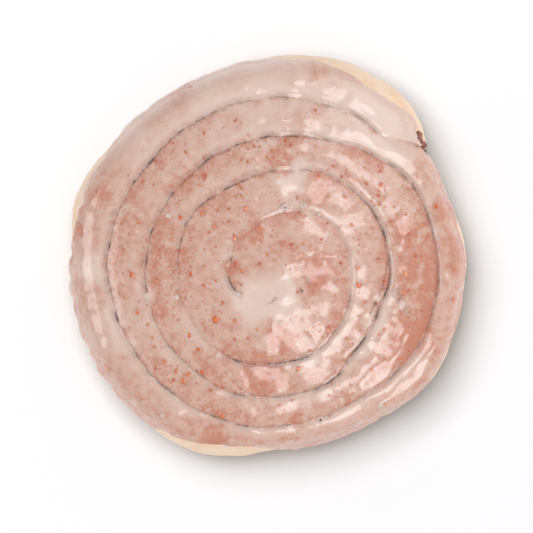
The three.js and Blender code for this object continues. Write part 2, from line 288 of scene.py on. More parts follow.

# Where the glaze lies thicker (paler, above 0) or the browned dough shows through (below 0), and a few
# places of painted highlight (paler) or painted shade that damps the shine (darker):
# x, y and radius in the photograph's pixels, then how much
PATCHES = {
    "centre pool": (266, 307, 29, 0.9),
    "centre pool, upper": (289, 291, 20, 0.5),
    "centre pool, left": (247, 296, 16, 0.35),
    "below the centre pool": (268, 324, 9, -0.5),
    "crown": (289, 178, 18, 0.85),
    # darker as painted shade, which damps the shine here
    "beside the crown": (319, 194, 11, -0.9),
    "above the crown": (282, 162, 13, -1.0),
    "upper right band": (350, 122, 36, 0.45),
    "second turn, left of the top": (222, 139, 14, 0.3),
    "second turn, top": (268, 132, 21, 0.4),
    "beside the tail": (398, 143, 21, 0.72),
    "outer turn, top": (300, 75, 42, 0.55),
    "outer turn, right of the top": (332, 95, 9, -0.4),
    "outer turn, upper left": (230, 83, 40, 0.6),
    "outer turn, left of it": (132, 147, 20, 0.4),
    "outer turn, upper right": (384, 104, 34, 0.75),
    "outer turn, left": (165, 112, 42, 0.35),
    "lower right pool": (376, 322, 11, 0.8),
    "lower right pool, upper end": (388, 296, 8, 0.6),
    "lower right pool, lower end": (363, 346, 11, 0.6),
    # darker partly as painted shade, which damps the shine here
    "outside the lower right pool": (396, 330, 14, -0.75),
    # darker partly as painted shade, which damps the shine here
    "second turn, lower right": (390, 356, 14, -0.6),
    "left pool": (97, 268, 14, 0.5),
    "lower left pool": (113, 330, 24, 0.4),
    # paler partly as a painted highlight along the ridge
    "left ridge": (89, 268, 11, 0.5),
    "right strip, upper": (400, 227, 13, -0.85),
    "right strip, middle": (405, 248, 15, -0.65),
    "right strip, inner": (407, 273, 9, -0.4),
    "core, right": (316, 272, 22, -0.9),
    "right strip": (418, 284, 26, -0.6),
    "right edge": (441, 214, 12, -0.7),
    "right strip, low": (422, 330, 22, -0.5),
    "third turn, upper right": (358, 164, 20, -0.4),
    "bottom edge": (213, 433, 12, -0.9),
    "left edge": (104, 196, 9, -0.8),
    "second turn, left": (146, 246, 30, -0.25),
    "third turn, left": (168, 262, 24, -0.25),
    "fourth turn, bottom": (255, 350, 36, -0.15),
    "fourth turn, left of the bottom": (207, 335, 18, 0.15),
    "third turn, bottom": (232, 372, 40, -0.3),
    "third turn, right of the bottom": (262, 374, 17, -0.95),
    # browner dough, and painted shade that damps the shine here
    "fourth turn, right of the bottom": (281, 335, 13, -1.2),
    "third turn, below the core": (282, 382, 12, -0.4),
    # painted highlight
    "third turn, lower right": (315, 356, 11, 0.45),
    "second turn, bottom": (290, 424, 16, -0.25),
    "outer turn, lower left": (198, 419, 12, -0.25),
    "seam, left": (108, 266, 8, -0.6),
    "seam, lower left": (129, 338, 9, -0.3),
    "core, top": (285, 249, 11, -0.8),
    "core, left": (248, 228, 17, -0.15),
    "core, upper": (294, 235, 9, 0.3),
    "core seam, left": (231, 268, 8, -0.9),
    "core seam, lower left": (236, 286, 6, -0.8),
    "left rim": (77, 232, 7, -0.9),
    "right rim": (446, 254, 18, -0.6),
    "third turn, lower left": (172, 301, 15, -0.35),
    "second turn, upper left": (178, 186, 13, -0.35),
    "core, beside the marks": (306, 293, 9, -0.5),
    "fourth turn, right": (347, 303, 10, -0.3),
    "upper left rim": (180, 95, 10, -0.5),
    "tail seam": (373, 130, 5, -0.9),
    "tail seam, upper": (318, 111, 7, -0.7),
    "outer turn, top blotch": (318, 73, 9, -0.6),
}
PATCH_SPAN = (0.45, 1.6)  # over which a patch dies away, in radii

# Orange spots, where fried bubbles of the dough show through the glaze: x, y and width in pixels
SPOTS = [
    (260, 229, 7), (235, 239, 5), (246, 209, 6), (215, 227, 6), (133, 275, 7), (158, 280, 5), (267, 255, 4),
    (242, 271, 5), (216, 281, 4), (357, 268, 5), (358, 285, 7), (216, 319, 9), (235, 320, 5), (378, 204, 4),
    (344, 197, 4), (380, 185, 5), (298, 368, 5), (222, 415, 6), (403, 291, 6), (408, 246, 5), (405, 274, 6),
    (138, 312, 5), (109, 369, 7), (191, 87, 6), (190, 335, 6), (199, 349, 6), (202, 371, 7), (189, 374, 6),
    (184, 380, 7), (177, 370, 5), (165, 361, 5), (153, 337, 4), (257, 329, 4), (271, 330, 4), (328, 330, 5),
    (343, 280, 4), (318, 177, 5), (319, 215, 5), (351, 225, 4), (181, 218, 6), (202, 214, 5), (204, 285, 4),
    (139, 223, 5), (379, 172, 4), (333, 167, 4), (428, 330, 4), (452, 299, 5), (184, 251, 5), (191, 274, 5),
    (435, 207, 7), (441, 214, 4), (413, 263, 4), (420, 257, 4), (421, 286, 4), (403, 272, 5), (422, 225, 4),
    (405, 215, 3), (452, 269, 3), (79, 230, 7), (76, 236, 5),
]

# Bubbles in the glaze: x, y and width in pixels, and how dark their pit is
BUBBLES = [
    (285, 208, 8, 0.55), (303, 206, 7, 0.45), (319, 215, 5, 0.3), (148, 296, 8, 0.1), (177, 297, 6, 0.0),
    (380, 404, 6, 0.15), (320, 419, 8, 0.8), (351, 364, 4, 0.1), (229, 292, 3, 0.4), (333, 84, 4, 0.15),
    (169, 216, 6, 0.1), (308, 115, 4, 0.1), (230, 253, 3, 0.3), (163, 415, 5, 0.0),
]
BUBBLE_STEPS = 14
BUBBLE_WELD = 1e-5  # in radii

# Half the section of a bubble, in radii: out, up, how much a burst lowers it and how dark it makes it
BUBBLE_PROFILE = [
    (0, -0.3, 0, 0), (1, -0.3, 0, 0), (0.94, 0.04, 0, 0), (0.75, 0.24, 0, 0), (0.5, 0.3, 0.05, 0.2),
    (0.26, 0.3, 0.25, 0.8), (0, 0.32, 0.4, 1),
]

# Dark marks in the glaze: the two ends in pixels, the width in pixels and how dark
MARKS = {
    "hook": (266, 304, 272, 302, 2.6, 0.4),
    "hook, bend": (272, 302, 276, 297, 3.2, 0.5),
    "hook, tip": (276, 297, 278, 290, 1.8, 0.34),
    "crust by the upper bubbles": (279, 207, 285, 203, 2.0, 0.5),
    "crust by the second bubble": (299, 203, 306, 203, 1.8, 0.5),
    "spot beside the core": (299, 289, 303, 291, 3.4, 0.75),
    "smudge above it": (302, 268, 307, 282, 7.0, 0.45),
    "second line, right": (388, 256, 382, 286, 0.9, 0.62),
    "second line, right, lower": (382, 286, 368, 316, 0.9, 0.66),
    "dot on the second line": (374, 303, 375, 304, 2.6, 0.9),
    "grey smear, right": (395, 292, 404, 309, 17.0, 0.45),
    "smear, lower left": (197, 370, 205, 377, 3.0, 0.6),
}
MARK_CORE = 0.3  # the share of its width that is darkest
MARK_EDGE = 0.6  # over which it dies away beyond its width

# Colours, as a screen shows them
POOL_COLOUR = (235, 207, 194)
GLAZE_COLOUR = (223, 185, 169)
VEIL_COLOUR = (232, 204, 191)
THIN_COLOUR = (212, 158, 138)
BROWNED_COLOUR = (203, 130, 104)
FRECKLE_COLOUR = (198, 96, 58)
FLECK_COLOUR = (204, 118, 88)
FRINGE_COLOUR = (168, 104, 84)
# the seams' dark line: dark filling seen through thin glaze, with painted shadow in the undercut crevice;
# the dark marks use it too
SEAM_COLOUR = (88, 66, 62)
# painted shade in the hollow along the outside of the seams
SEAM_SHADE_COLOUR = (176, 154, 147)
SPOT_EDGE_COLOUR = (218, 170, 150)
SPOT_RING_COLOUR = (204, 112, 70)
SPOT_DARK_COLOUR = (216, 100, 38)
SPOT_PALE_COLOUR = (242, 164, 112)
BUBBLE_COLOUR = (222, 198, 186)
PIT_COLOUR = (104, 70, 60)
DOUGH_PALE = (252, 223, 196)
DOUGH_WARM = (248, 209, 172)
DOUGH_GOLD = (222, 170, 108)
DOUGH_BROWN = (176, 112, 62)
FILLING_DARK = (58, 30, 22)
FILLING_LIGHT = (112, 62, 42)
CRUMB_DARK = (112, 58, 46)
CRUMB_LIGHT = (180, 112, 90)
FLOOR_COLOUR = (203, 203, 204)

# Finish of the icing: its noises, the steps between its colours, and how much each noise sways them
ICING_CLOUD = Grain(140, 3, 0.6)
ICING_MOTTLE = Grain(420, 4, 0.6)
ICING_GRAIN = Grain(1500, 3, 0.65)
DEPTH = Step(0.0, 1.0)
DEPTH_CLOUD = 0.2
THIN = Step(0.3, 0.75)
THIN_CLOUD = 0.1
THIN_GRAIN = 0.08
CALM_RIM = Step(0.0, 1.0, 1.0, 0.3)
VEIL_GRAIN = Grain(260, 5, 0.7)
VEIL_WOBBLE = (260, 2.0)  # patches in a metre, and millimetres
VEIL = Step(0.5, 0.66, 0.0, 0.5)
BROWN = Step(0.1, 1.15)
BROWN_CLOUD = 0.32
BROWN_MOTTLE = 0.3
BROWN_GRAIN = 0.1
BROWN_MOST = 0.75
UNDER_GLAZE = Step(0.25, 0.9, 1.0, 0.05)
FLECKS = Step(0.5, 0.68, 0.0, 0.5)
FLECKS_IN_BROWN = Step(0.0, 0.5, 0.25, 1.0)
FRECKLE_WOBBLE = (1500, 0.5)  # the same
FRECKLE_SCALE = 520
FRECKLE_SIZE = Step(0.35, 1.0, 0.0, 0.42)
FRECKLE_EDGE = Step(-0.08, 0.22, 0.0, 0.85)
FRECKLE_CLUSTERS = Step(0.4, 0.58)
ICING_WAVES = Grain(230, 1)
ICING_RIPPLES = Grain(700, 0)
RIPPLE_RISE = 0.1
ICING_BUMP = (0.36, 0.35)  # strength, and depth in millimetres
ICING_FINISH = {
    "Roughness": 0.12,
    "IOR": 1.45,
    "Subsurface Weight": 0.2,
    "Subsurface Radius": (1.0, 0.6, 0.45),
    "Subsurface Scale": 0.0012,
}

# Finish of the seams, by the distance from them
SEAM_COARSE = Grain(230, 3, 0.6)
SEAM_FINE = Grain(900, 3, 0.6)
SEAM_RAGGED = 0.2
OUTSIDE_SEAM = Step(0.2, -0.6)
INSIDE_SEAM = Step(-0.2, 0.6)
# Painted shade on the glaze outside a seam: how far out it reaches, how patchy it is and how strong
SEAM_SHADE_BAND = Step(2.4, 0.2)
SEAM_SHADE_PATCHY = Step(0.36, 0.62, 0.15, 1.0)
SEAM_SHADE_MOST = 0.7
FRINGE = Step(1.7, 0.2)
FRINGE_BROKEN = Step(0.4, 0.62)
FRINGE_MOST = 0.75
LINE_WIDTH = Step(0.35, 0.7, 0.04, 0.42)
LINE_EDGE = Step(-0.2, 0.35, 0.0, 0.9)
LINE_BROKEN = Step(0.42, 0.88)
LINE_RAGGED = 0.12
LINE_WHOLE = 0.45  # how much less broken the line is where it is dark
MARK = Step(0.2, 0.9)
MARK_RAGGED = 0.15
MARK_MOST = 0.85

# Finish of the orange spots and the bubbles
SPOT_GRAIN = Grain(1200)
SPOT_RAGGED = 0.15
SPOT_RING = Step(0.2, 0.7)
SPOT_HEART = Step(0.5, 1.0)
SPOT_FINISH = {
    "Roughness": 0.14,
    "Subsurface Weight": 0.2,
    "Subsurface Radius": (1.0, 0.6, 0.45),
    "Subsurface Scale": 0.0008,
}
BUBBLE_GRAIN = Grain(1500)
BUBBLE_RAGGED = 0.12
BUBBLE_PIT = Step(0.1, 0.8)
BUBBLE_FINISH = {"Roughness": 0.08, "IOR": 1.45}

# Finish of the dough: paler and browner by the height, which its noises sway
DOUGH_CLOUD = Grain(120, 4, 0.6)
DOUGH_MOTTLE = Grain(420, 4, 0.6)
DOUGH_GRAIN = Grain(1300, 4, 0.6)
HEIGHT_CLOUD = 2.0 * MM
HEIGHT_MOTTLE = 0.6 * MM
WARM = Step(0.35, 0.75)
WARM_MOTTLE = 0.15
GOLD = Step(9.5 * MM, 4.0 * MM)
BAKED = Step(5.0 * MM, 0.0)
BAKED_PATCHY = Step(0.3, 0.6, 0.6, 1.0)
PORES = Step(0.58, 0.72, 0.0, 0.35)
PORE_CLUSTERS = Step(0.35, 0.6)
PORE_DEPTH = 0.5
DOUGH_BUMP = (0.5, 0.4)
DOUGH_FINISH = {
    "Roughness": 0.5,
    "Subsurface Weight": 0.15,
    "Subsurface Radius": (1.0, 0.6, 0.35),
    "Subsurface Scale": 0.002,
}

# Finish of the filling and its crumbs
CRUMB_GRAIN = Grain(900, 4, 0.6)
CRUMB_SWAY = 0.4
CRUMB_TINT = Step(0.1, 0.9)
CRUMB_FINISH = {"Roughness": 0.25}
FILLING_GRAIN = Grain(700, 4, 0.6)
FILLING_TINT = Step(0.4, 0.7)
FILLING_FINISH = {"Roughness": 0.45}

# Floor, in metres
FLOOR_HALF = 3.0
FLOOR_FINISH = {"Roughness": 0.9, "Specular IOR Level": 0.0}

# Light: places by bearing and degrees off the vertical, sizes and distances in metres, powers in watts
WORLD_COLOUR = (0.98, 0.99, 1.01, 1)
WORLD_STRENGTH = 0.55
BOX_DISTANCE = 1.0
FLOOR_LIGHT_PLACE = (135, 16)
FLOOR_LIGHT_DISTANCE = 3.0
FLOOR_LIGHT_SIZE = (2.0, 2.0)
FLOOR_LIGHT_POWER = 120.0

# Soft boxes that light the roll without shining on it: bearing, degrees off the vertical, watts
FILL_BOXES = [(5, 35, 5.0), (212, 60, 2.1)]
FILL_SIZE = (0.9, 0.9)
FILL_TINT = (0.97, 0.99, 0.99)

# Soft boxes that only shine on the glaze: bearing, degrees off the vertical, width and height, watts
SHINE_BOXES = [
    (-51, 16, (0.27, 0.25), 1.65), (44, 17, (0.24, 0.24), 1.2), (184, 54, (0.5, 0.8), 5.6),
    (-46, 39, (0.28, 0.2), 1.6), (50, 36, (0.5, 0.5), 1.4),
]
SHINE_TINT = (0.96, 1.0, 1.03)

# Camera, in metres, and its sensor in millimetres
CAMERA_DISTANCE = 2.5
CAMERA_SENSOR = 36
CAMERA_END = 20


def linear(rgb):
    """A colour as Blender wants it, from the 0 to 255 of a screen, by the sRGB curve."""
    def channel(value):
        share = value / 255
        return share / 12.92 if share <= 0.04045 else ((share + 0.055) / 1.055) ** 2.4
    return (*(channel(value) for value in rgb), 1.0)


def clamp(value, low=0.0, high=1.0):
    return min(max(value, low), high)


def mix(a, b, share):
    return a + (b - a) * share


def smooth(value, low, high):
    """0 below low, 1 above high, and a smooth step between."""
    share = clamp((value - low) / (high - low))
    return share * share * (3 - 2 * share)


def fade(value, low, high):
    """1 below low, 0 above high, and a smooth step between."""
    return 1 - smooth(value, low, high)


def near(value, middle, span):
    """1 close to a middle, 0 far from it, and a smooth step over the span of distances between."""
    return fade(abs(value - middle), *span)


def ramp(stops, at):
    """A value between the stops of a list of (place, value)."""
    for (low, first), (high, second) in zip(stops, stops[1:]):
        if at <= high:
            return mix(first, second, smooth(at, low, high))
    return stops[-1][1]


def swell(x, y, kind):
    """Smooth unevenness of a kind at a place."""
    return kind.height * noise.noise(Vector((x / kind.length, y / kind.length, LAYER_STEP * kind.layer)))


def around(wound, reach):
    """The place at an angle and a reach, from the coil's axis."""
    angle = math.radians(wound)
    return reach * math.cos(angle), reach * math.sin(angle)


def from_axis(place):
    """Where a point of the frame lies, in millimetres from the coil's axis."""
    return place.x / MM - AXIS[0], place.y / MM - AXIS[1]


def in_frame(x, y, height):
    """A point given from the coil's axis, in the frame."""
    return Vector((AXIS[0] + x, AXIS[1] + y, height)) * MM


def pixel_place(x, y):
    """Where a pixel of the photograph looks straight down, in millimetres from the coil's axis."""
    return (x - PHOTO_AXIS[0]) * MM_PER_PIXEL, (PHOTO_AXIS[1] - y) * MM_PER_PIXEL


def bearing_of(x, y):
    return math.degrees(math.atan2(y, x)) % TURN


def outer_wound(bearing, slack=0.0):
    """The angle wound in at a bearing, on the outer turn."""
    return bearing if bearing > TAIL_WOUND - slack else bearing + TURN


def facing(wound, bearing, power=GROOVE_POWER):
    """1 at a bearing, falling smoothly to 0 on the far side of the roll."""
    return (0.5 + 0.5 * math.cos(math.radians(wound - bearing))) ** power


def edge_places():
    places = [(FIRST_TWELFTH + i * TWELFTH, reach) for i, reach in enumerate(sum(TURN_REACH, []))]
    return sorted(places + END_PLACES + BULGES + SEAM_PLACES)


EDGE = edge_places()


def edge_reach(wound):
    """Reach of the strip's outer edge: a smooth cubic through the measured places."""
    last = len(EDGE) - 1
    i = next(n for n in range(last) if n + 1 == last or EDGE[n + 1][0] > wound)

    def slope(a, b):
        return (EDGE[b][1] - EDGE[a][1]) / (EDGE[b][0] - EDGE[a][0])

    start = slope(max(i - 1, 0), i + 1)
    end = slope(i, min(i + 2, last))
    span = EDGE[i + 1][0] - EDGE[i][0]
    t = (wound - EDGE[i][0]) / span
    held = EDGE[i][1] * (1 + 2 * t) * (1 - t) ** 2 + EDGE[i + 1][1] * (3 - 2 * t) * t ** 2
    return held + span * (start * t * (1 - t) ** 2 + end * (t - 1) * t ** 2)


def uneven_reach(wound):
    """The edge with the wander of a hand-rolled strip and the lumps of its glaze."""
    reach = edge_reach(wound)
    x, y = around(wound, reach)
    free = wound < NOTCH_WOUND
    wander = 0.0 if free else swell(x, y, EDGE_WANDER)
    lump = swell(x, y, RIM_LUMPS if free else SEAM_LUMPS)
    ragged = swell(x, y, RAGGED_RIM) * near(wound, RAGGED_BEARING, RAGGED_SPAN)
    off_tail = smooth(abs(wound - TAIL_WOUND), 0, STEADY_END)
    off_notch = smooth(abs(wound - NOTCH_WOUND), 0, STEADY_END)
    return reach + (wander + lump + ragged) * smooth(reach, *WANDER_REACH) * off_tail * off_notch


def dome(reach):
    """Height of the icing over the whole roll, without its terraces and lumps."""
    return ICING_CROWN - ICING_DROP * (reach / RIM_REACH) ** 2


def droop(wound):
    """How much lower the strip stands, towards its tail."""
    return TAIL_DROOP * fade(wound, TAIL_WOUND, TAIL_WOUND + TAIL_DROOP_SPAN)


def free_side(wound):
    """1 along the free outer side of the coil, 0 where the next turn lies against the strip."""
    return fade(wound, *PRESSED_SPAN)


def side_inset(height, top):
    """How far the icing's free side stands in from the outline at a height, for a crest at a height."""
    if height < WAIST_HEIGHT:
        return FLANK_INSET * ((WAIST_HEIGHT - height) / (WAIST_HEIGHT - FLANK_HEIGHT)) ** 2
    if height < SHOULDER_HEIGHT:
        return SHOULDER_INSET * ((height - WAIST_HEIGHT) / (SHOULDER_HEIGHT - WAIST_HEIGHT)) ** 2
    left = clamp((top - height) / (top - SHOULDER_HEIGHT))
    return SHOULDER_INSET + SIDE_RUN * (1 - left ** (1 / RIM_ROUND))


def side_height(inset, top):
    """The height at which the free side stands in so far, on its upper half."""
    if inset < SHOULDER_INSET:
        return WAIST_HEIGHT + (SHOULDER_HEIGHT - WAIST_HEIGHT) * math.sqrt(inset / SHOULDER_INSET)
    left = (1 - clamp((inset - SHOULDER_INSET) / SIDE_RUN)) ** RIM_ROUND
    return mix(top, SHOULDER_HEIGHT, left)


def bare_width(wound):
    return ramp(BARE_WIDTH, wound % TURN)


def icing_end(wound, top):
    """Height of the icing's lower edge on the free side."""
    x, y = around(wound, DRIP_REACH)
    drip = DRIP_HEIGHT + swell(x, y, LONG_DRIPS) + swell(x, y, SHORT_DRIPS)
    bare = bare_width(wound)
    return mix(drip, side_height(bare, top), smooth(bare, 0.0, BARE_ALONE))


def groove(wound):
    """How much of a groove the seam is at a bearing: on the left the strips only step up at it."""
    return facing(wound, GROOVE_BEARING)


def strip_edge(wound):
    """Reach of the icing's edge, how far it sinks below the crest, and the run of the slope up from it."""
    reach = uneven_reach(wound)
    free = free_side(wound)
    extra = free * max(0.0, bare_width(wound) - BARE_DRAWS_IN)
    sink = SEAM_SINK * ramp(SEAM_DEPTH, wound) * groove(wound)
    side = (dome(reach) - droop(wound) - SHOULDER_HEIGHT) * (1 - extra / SIDE_RUN) ** RIM_ROUND
    pressed_run = mix(SHOULDER_RUN, GROOVE_RUN, groove(wound))
    rim_run = SIDE_RUN * (1 - RIM_TIGHTER * facing(wound, SLOPE_BEARING))
    run = mix(pressed_run, rim_run - extra, free)
    return reach - free * (SHOULDER_INSET + extra), mix(sink, side, free), run


class Strip:
    """One station of the icing's ribbon: where its two edges lie, and how deep they sink.

    The innermost turn closes on the axis, and has no seam inside it.
    """

    def __init__(self, wound):
        self.wound = wound
        self.outer, self.outer_sink, self.run = strip_edge(wound)
        self.closes = wound + TURN > LAST_WOUND
        self.inner, self.inner_sink = EYE_REACH, 0.0
        if not self.closes:
            self.inner, self.inner_sink, _ = strip_edge(wound + TURN)
        self.free = free_side(wound)
        even = 0.0 if self.closes else facing(wound, SLOPE_BEARING)
        pressed_power = mix(SLOPE_POWER, POOL_POWER, near(wound, POOL_WOUND, POOL_SPAN))
        self.power = mix(TERRACE_POWER, mix(pressed_power, RIM_POWER, self.free), even)
        self.round = mix(SHOULDER_ROUND, RIM_ROUND, self.free)
        self.left = self.free * near(wound, LEFT_BEARING, LEFT_SPAN)
        along = RIM_REACH * math.radians(wound)
        self.left_run = self.run / SIDE_RUN * (1 + swell(along, 0, LEFT_WANDER))
        self.inner_ridge = 0.0 if self.closes else RIDGE * facing(wound, RIDGE_BEARING)

    def point(self, share):
        """Place and height at a share of the way in, with the distances to both edges."""
        reach = mix(self.outer, self.inner, share)
        outward, inward = self.outer - reach, reach - self.inner
        width = max(self.outer - self.inner, LEAST_WIDTH)
        terrace = mix(dome(self.outer), dome(self.inner), 1 - (1 - outward / width) ** self.power)
        drop = (1 - clamp(outward / min(self.run, SHOULDER_SHARE * width))) ** self.round
        shoulder = self.outer_sink * mix(drop, self.left_drop(outward), self.left)
        lip = self.inner_sink * (1 - clamp(inward / min(LIP_RUN, LIP_SHARE * width))) ** LIP_ROUND
        x, y = around(self.wound, reach)
        ridge = self.inner_ridge * max(0.0, 1 - ((inward - RIDGE_PLACE) / RIDGE_WIDTH) ** 2) ** 2
        drooped = droop(self.wound) * (1 - share)
        return x, y, terrace + lumps(x, y) + ridge - shoulder - lip - drooped, outward, inward

    def left_drop(self, outward):
        """The share of the rim's drop that is left so far in, where it is steep first and then even."""
        def part(much, run, power):
            return much * (1 - clamp(outward / (run * self.left_run))) ** power
        return part(*LEFT_STEEP) + part(*LEFT_EVEN)


def lumps(x, y):
    """Unevenness of the glaze, which lies in folds along the rim at the lower right."""
    along = math.atan2(y, x) * RIM_REACH
    folded = fade(math.hypot(x - FOLD_PLACE[0], y - FOLD_PLACE[1]), *FOLD_SPAN)
    folds = folded * swell(along, math.hypot(x, y) * FOLD_NARROWER, FOLDS)
    return folds + swell(x, y, BROAD_LUMPS) + swell(x, y, MIDDLING_LUMPS) + swell(x, y, SMALL_LUMPS)


def seam_place(strip, outward, inward):
    """Distance to the nearest seam, its side (1 on the strip inside it, -1 outside) and how dark it is."""
    inside = strip.closes or outward <= inward
    wound = strip.wound if inside else strip.wound + TURN
    away = outward if inside else inward
    if wound < NOTCH_WOUND:
        return SEAM_REACH, 0.0, 0.0
    side = clamp(away / SIDE_BLEND)
    return min(away, SEAM_REACH), side if inside else -side, ramp(SEAM_STRENGTH, wound)


def seam_darkening(wound, inward):
    """How much browner and less pale the glaze is along the outside of a seam."""
    return facing(wound, SEAM_DARKENING_BEARING, SEAM_BORDER_POWER) * fade(inward, *SEAM_BORDER_RUN)


def seam_wash(wound, outward):
    """How much glaze hides the browned dough along the inside of a seam."""
    return WASH * facing(wound, WASH_BEARING, SEAM_BORDER_POWER) * fade(outward, *SEAM_BORDER_RUN)


def patch_amount(x, y):
    """How much thicker the glaze is at a place, by the patches of the photograph."""
    amount = 0.0
    for px, py, radius, much in PATCHES.values():
        cx, cy = pixel_place(px, py)
        away = math.hypot(x - cx, y - cy) / (radius * MM_PER_PIXEL)
        amount += much * fade(away, *PATCH_SPAN)
    return amount


def spot_halo(x, y):
    """How much browner the glaze is round the orange spots."""
    amount = 0.0
    for px, py, width in SPOTS:
        cx, cy = pixel_place(px, py)
        away = math.hypot(x - cx, y - cy) / (width / 2 * MM_PER_PIXEL)
        amount = max(amount, SPOT_HALO * fade(away, *SPOT_HALO_REACH))
    return amount


def mark_amount(x, y):
    """How dark the marks in the glaze are at a place."""
    amount = 0.0
    for px, py, qx, qy, width, dark in MARKS.values():
        ax, ay = pixel_place(px, py)
        bx, by = pixel_place(qx, qy)
        half = width / 2 * MM_PER_PIXEL
        along = math.hypot(bx - ax, by - ay)
        if math.hypot(x - ax, y - ay) > along + half + MARK_EDGE:
            continue
        share = clamp(((x - ax) * (bx - ax) + (y - ay) * (by - ay)) / along ** 2)
        away = math.hypot(x - mix(ax, bx, share), y - mix(ay, by, share))
        amount = max(amount, dark * fade(away, MARK_CORE * half, half + MARK_EDGE))
    return amount


def glaze_looks(strip, x, y, outward, inward):
    """What the icing's finish reads at a place: a value for each of its layers."""
    away, side, dark = seam_place(strip, outward, inward)
    patch = patch_amount(x, y)
    pool, darkening = 0.0, 0.0
    if not strip.closes:
        pool = fade(inward, POOL_RUN[0], POOL_RUN[1] * (1 + swell(x, y, POOL_WANDER)))
        darkening = seam_darkening(strip.wound, inward)
    shoulder = fade(outward, *SEAM_BROWN_RUN) * (1 - strip.free)
    browned = shoulder * (SEAM_BROWN + swell(x, y, BROWN_WANDER) - seam_wash(strip.wound, outward))
    browned += RIM_BROWN * strip.free * fade(outward, *RIM_BROWN_RUN) + SEAM_DARKENING_BROWN * darkening
    return {
        "glaze": clamp(GLAZE_THIN + GLAZE_POOL * pool * (1 - darkening) + GLAZE_PATCH * patch),
        "brown": clamp(browned - patch + spot_halo(x, y)),
        "calm": strip.free,
        "away": away,
        "side": side,
        "dark": dark,
        "mark": mark_amount(x, y),
    }


def make_icing():
    """The icing: a ribbon rolled up along the coil, joined turn to turn, with a skirt down the side."""
    along = round((LAST_WOUND - TAIL_WOUND) / STATION)
    across = len(COLUMNS) - 1
    bm = bmesh.new()
    bmesh.ops.create_grid(bm, x_segments=along, y_segments=across, size=0.5)
    layers = {name: bm.verts.layers.float.new(name) for name in ICING_LAYERS}
    strips = [Strip(TAIL_WOUND + station * STATION) for station in range(along + 1)]
    # A place in the flat grid says which strip and which column a vertex belongs to
    for vert in bm.verts:
        strip = strips[round((vert.co.x + 0.5) * along)]
        share = COLUMNS[round((vert.co.y + 0.5) * across)]
        x, y, height, outward, inward = strip.point(share)
        looks = glaze_looks(strip, x, y, outward, inward)
        crease = CREASE * looks["dark"] * groove(strip.wound) * fade(looks["away"], 0.0, CREASE_RUN)
        vert.co = in_frame(x, y, height - crease)
        for name, layer in layers.items():
            vert[layer] = looks[name]
    bmesh.ops.remove_doubles(bm, verts=bm.verts, dist=ICING_WELD)
    edges = [edge for edge in bm.edges if edge.is_boundary]
    eye = [edge for edge in edges if math.hypot(*edge.verts[0].co.xy) < EYE_HOLE * MM]
    bmesh.ops.holes_fill(bm, edges=eye, sides=0)
    add_skirt(bm)
    made = finished("icing_glaze", bm)
    modifier = made.modifiers.new("shell", "SOLIDIFY")
    modifier.thickness = ICING_SHELL * MM
    modifier.offset = -1
    return made


# What a column of the icing's skirt starts from: its place at the rim, and whether it is on the tail's end
RimPlace = namedtuple("RimPlace", "x y reach height wound on_tail")


def add_skirt(bm):
    """Carries the icing's rim down the side of the roll, to a rounded lower edge."""
    rim = [edge for edge in bm.edges if edge.is_boundary]
    starts = {}
    for row in range(1, SKIRT_ROWS + 1):
        made = bmesh.ops.extrude_edge_only(bm, edges=rim)["geom"]
        rim = [item for item in made if isinstance(item, bmesh.types.BMEdge) and item.is_boundary]
        verts = {vert for edge in rim for vert in edge.verts}
        moved = {}
        # A new vertex starts at the place of the one above it, which tells the column that it is in
        for vert in verts:
            start = starts.get(vert.co.to_tuple(KEY_DIGITS)) or rim_place(vert.co)
            vert.co = skirt_point(start, row / SKIRT_ROWS)
            moved[vert.co.to_tuple(KEY_DIGITS)] = start
        starts = moved


def rim_place(place):
    x, y = from_axis(place)
    reach = math.hypot(x, y)
    wound = outer_wound(bearing_of(x, y), TIP_ANGLE)
    inside_rim = reach < uneven_reach(TAIL_WOUND) - TIP_MARGIN - SHOULDER_INSET
    on_tail = abs(wound - TAIL_WOUND) < TIP_ANGLE and inside_rim
    return RimPlace(x, y, reach, place.z / MM, wound, on_tail)


def skirt_point(start, share):
    """A point of the skirt, a share of the way from the rim to the lower edge."""
    outline = uneven_reach(start.wound)
    top = max(dome(outline) - droop(start.wound), start.height + RIM_BELOW_CREST)
    low = min(icing_end(start.wound, top), start.height - SKIRT_LEAST)
    at = mix(start.height, low, share)
    if start.on_tail:
        return in_frame(start.x, start.y, at)
    rise = side_inset(at + SLOPE_STEP, top) - side_inset(at - SLOPE_STEP, top)
    slope = rise / (2 * SLOPE_STEP)
    long = math.hypot(1, slope)
    tuck = EDGE_COAT * (1 - math.sqrt(max(1 - share ** TUCK_POWER, 0.0)))
    proud = start.reach - (outline - side_inset(start.height, top))
    lump = skirt_lump(math.radians(start.wound) * RIM_REACH, at)
    lump *= math.sin(math.pi * min(share / SKIRT_LUMP_END, 1))
    out = outline - side_inset(at, top) + proud * (1 - share) + lump - tuck / long
    at -= tuck * slope / long
    return in_frame(start.x / start.reach * out, start.y / start.reach * out, at)


def skirt_lump(along, height):
    """Unevenness of the icing down the side, by the way along the rim and the height."""
    return swell(along, height * SKIRT_SQUEEZE, SKIRT_LUMPS) + swell(along, height, SKIRT_SMALL_LUMPS)


def finished(name, bm):
    """A smooth mesh object from a bmesh, at the origin."""
    bmesh.ops.recalc_face_normals(bm, faces=bm.faces[:])
    mesh = bpy.data.meshes.new(name)
    bm.to_mesh(mesh)
    bm.free()
    mesh.shade_smooth()
    return linked(name, mesh)


def linked(name, data):
    """An object of a mesh, a light or a camera, in the scene."""
    made = bpy.data.objects.new(name, data)
    bpy.context.scene.collection.objects.link(made)
    return made


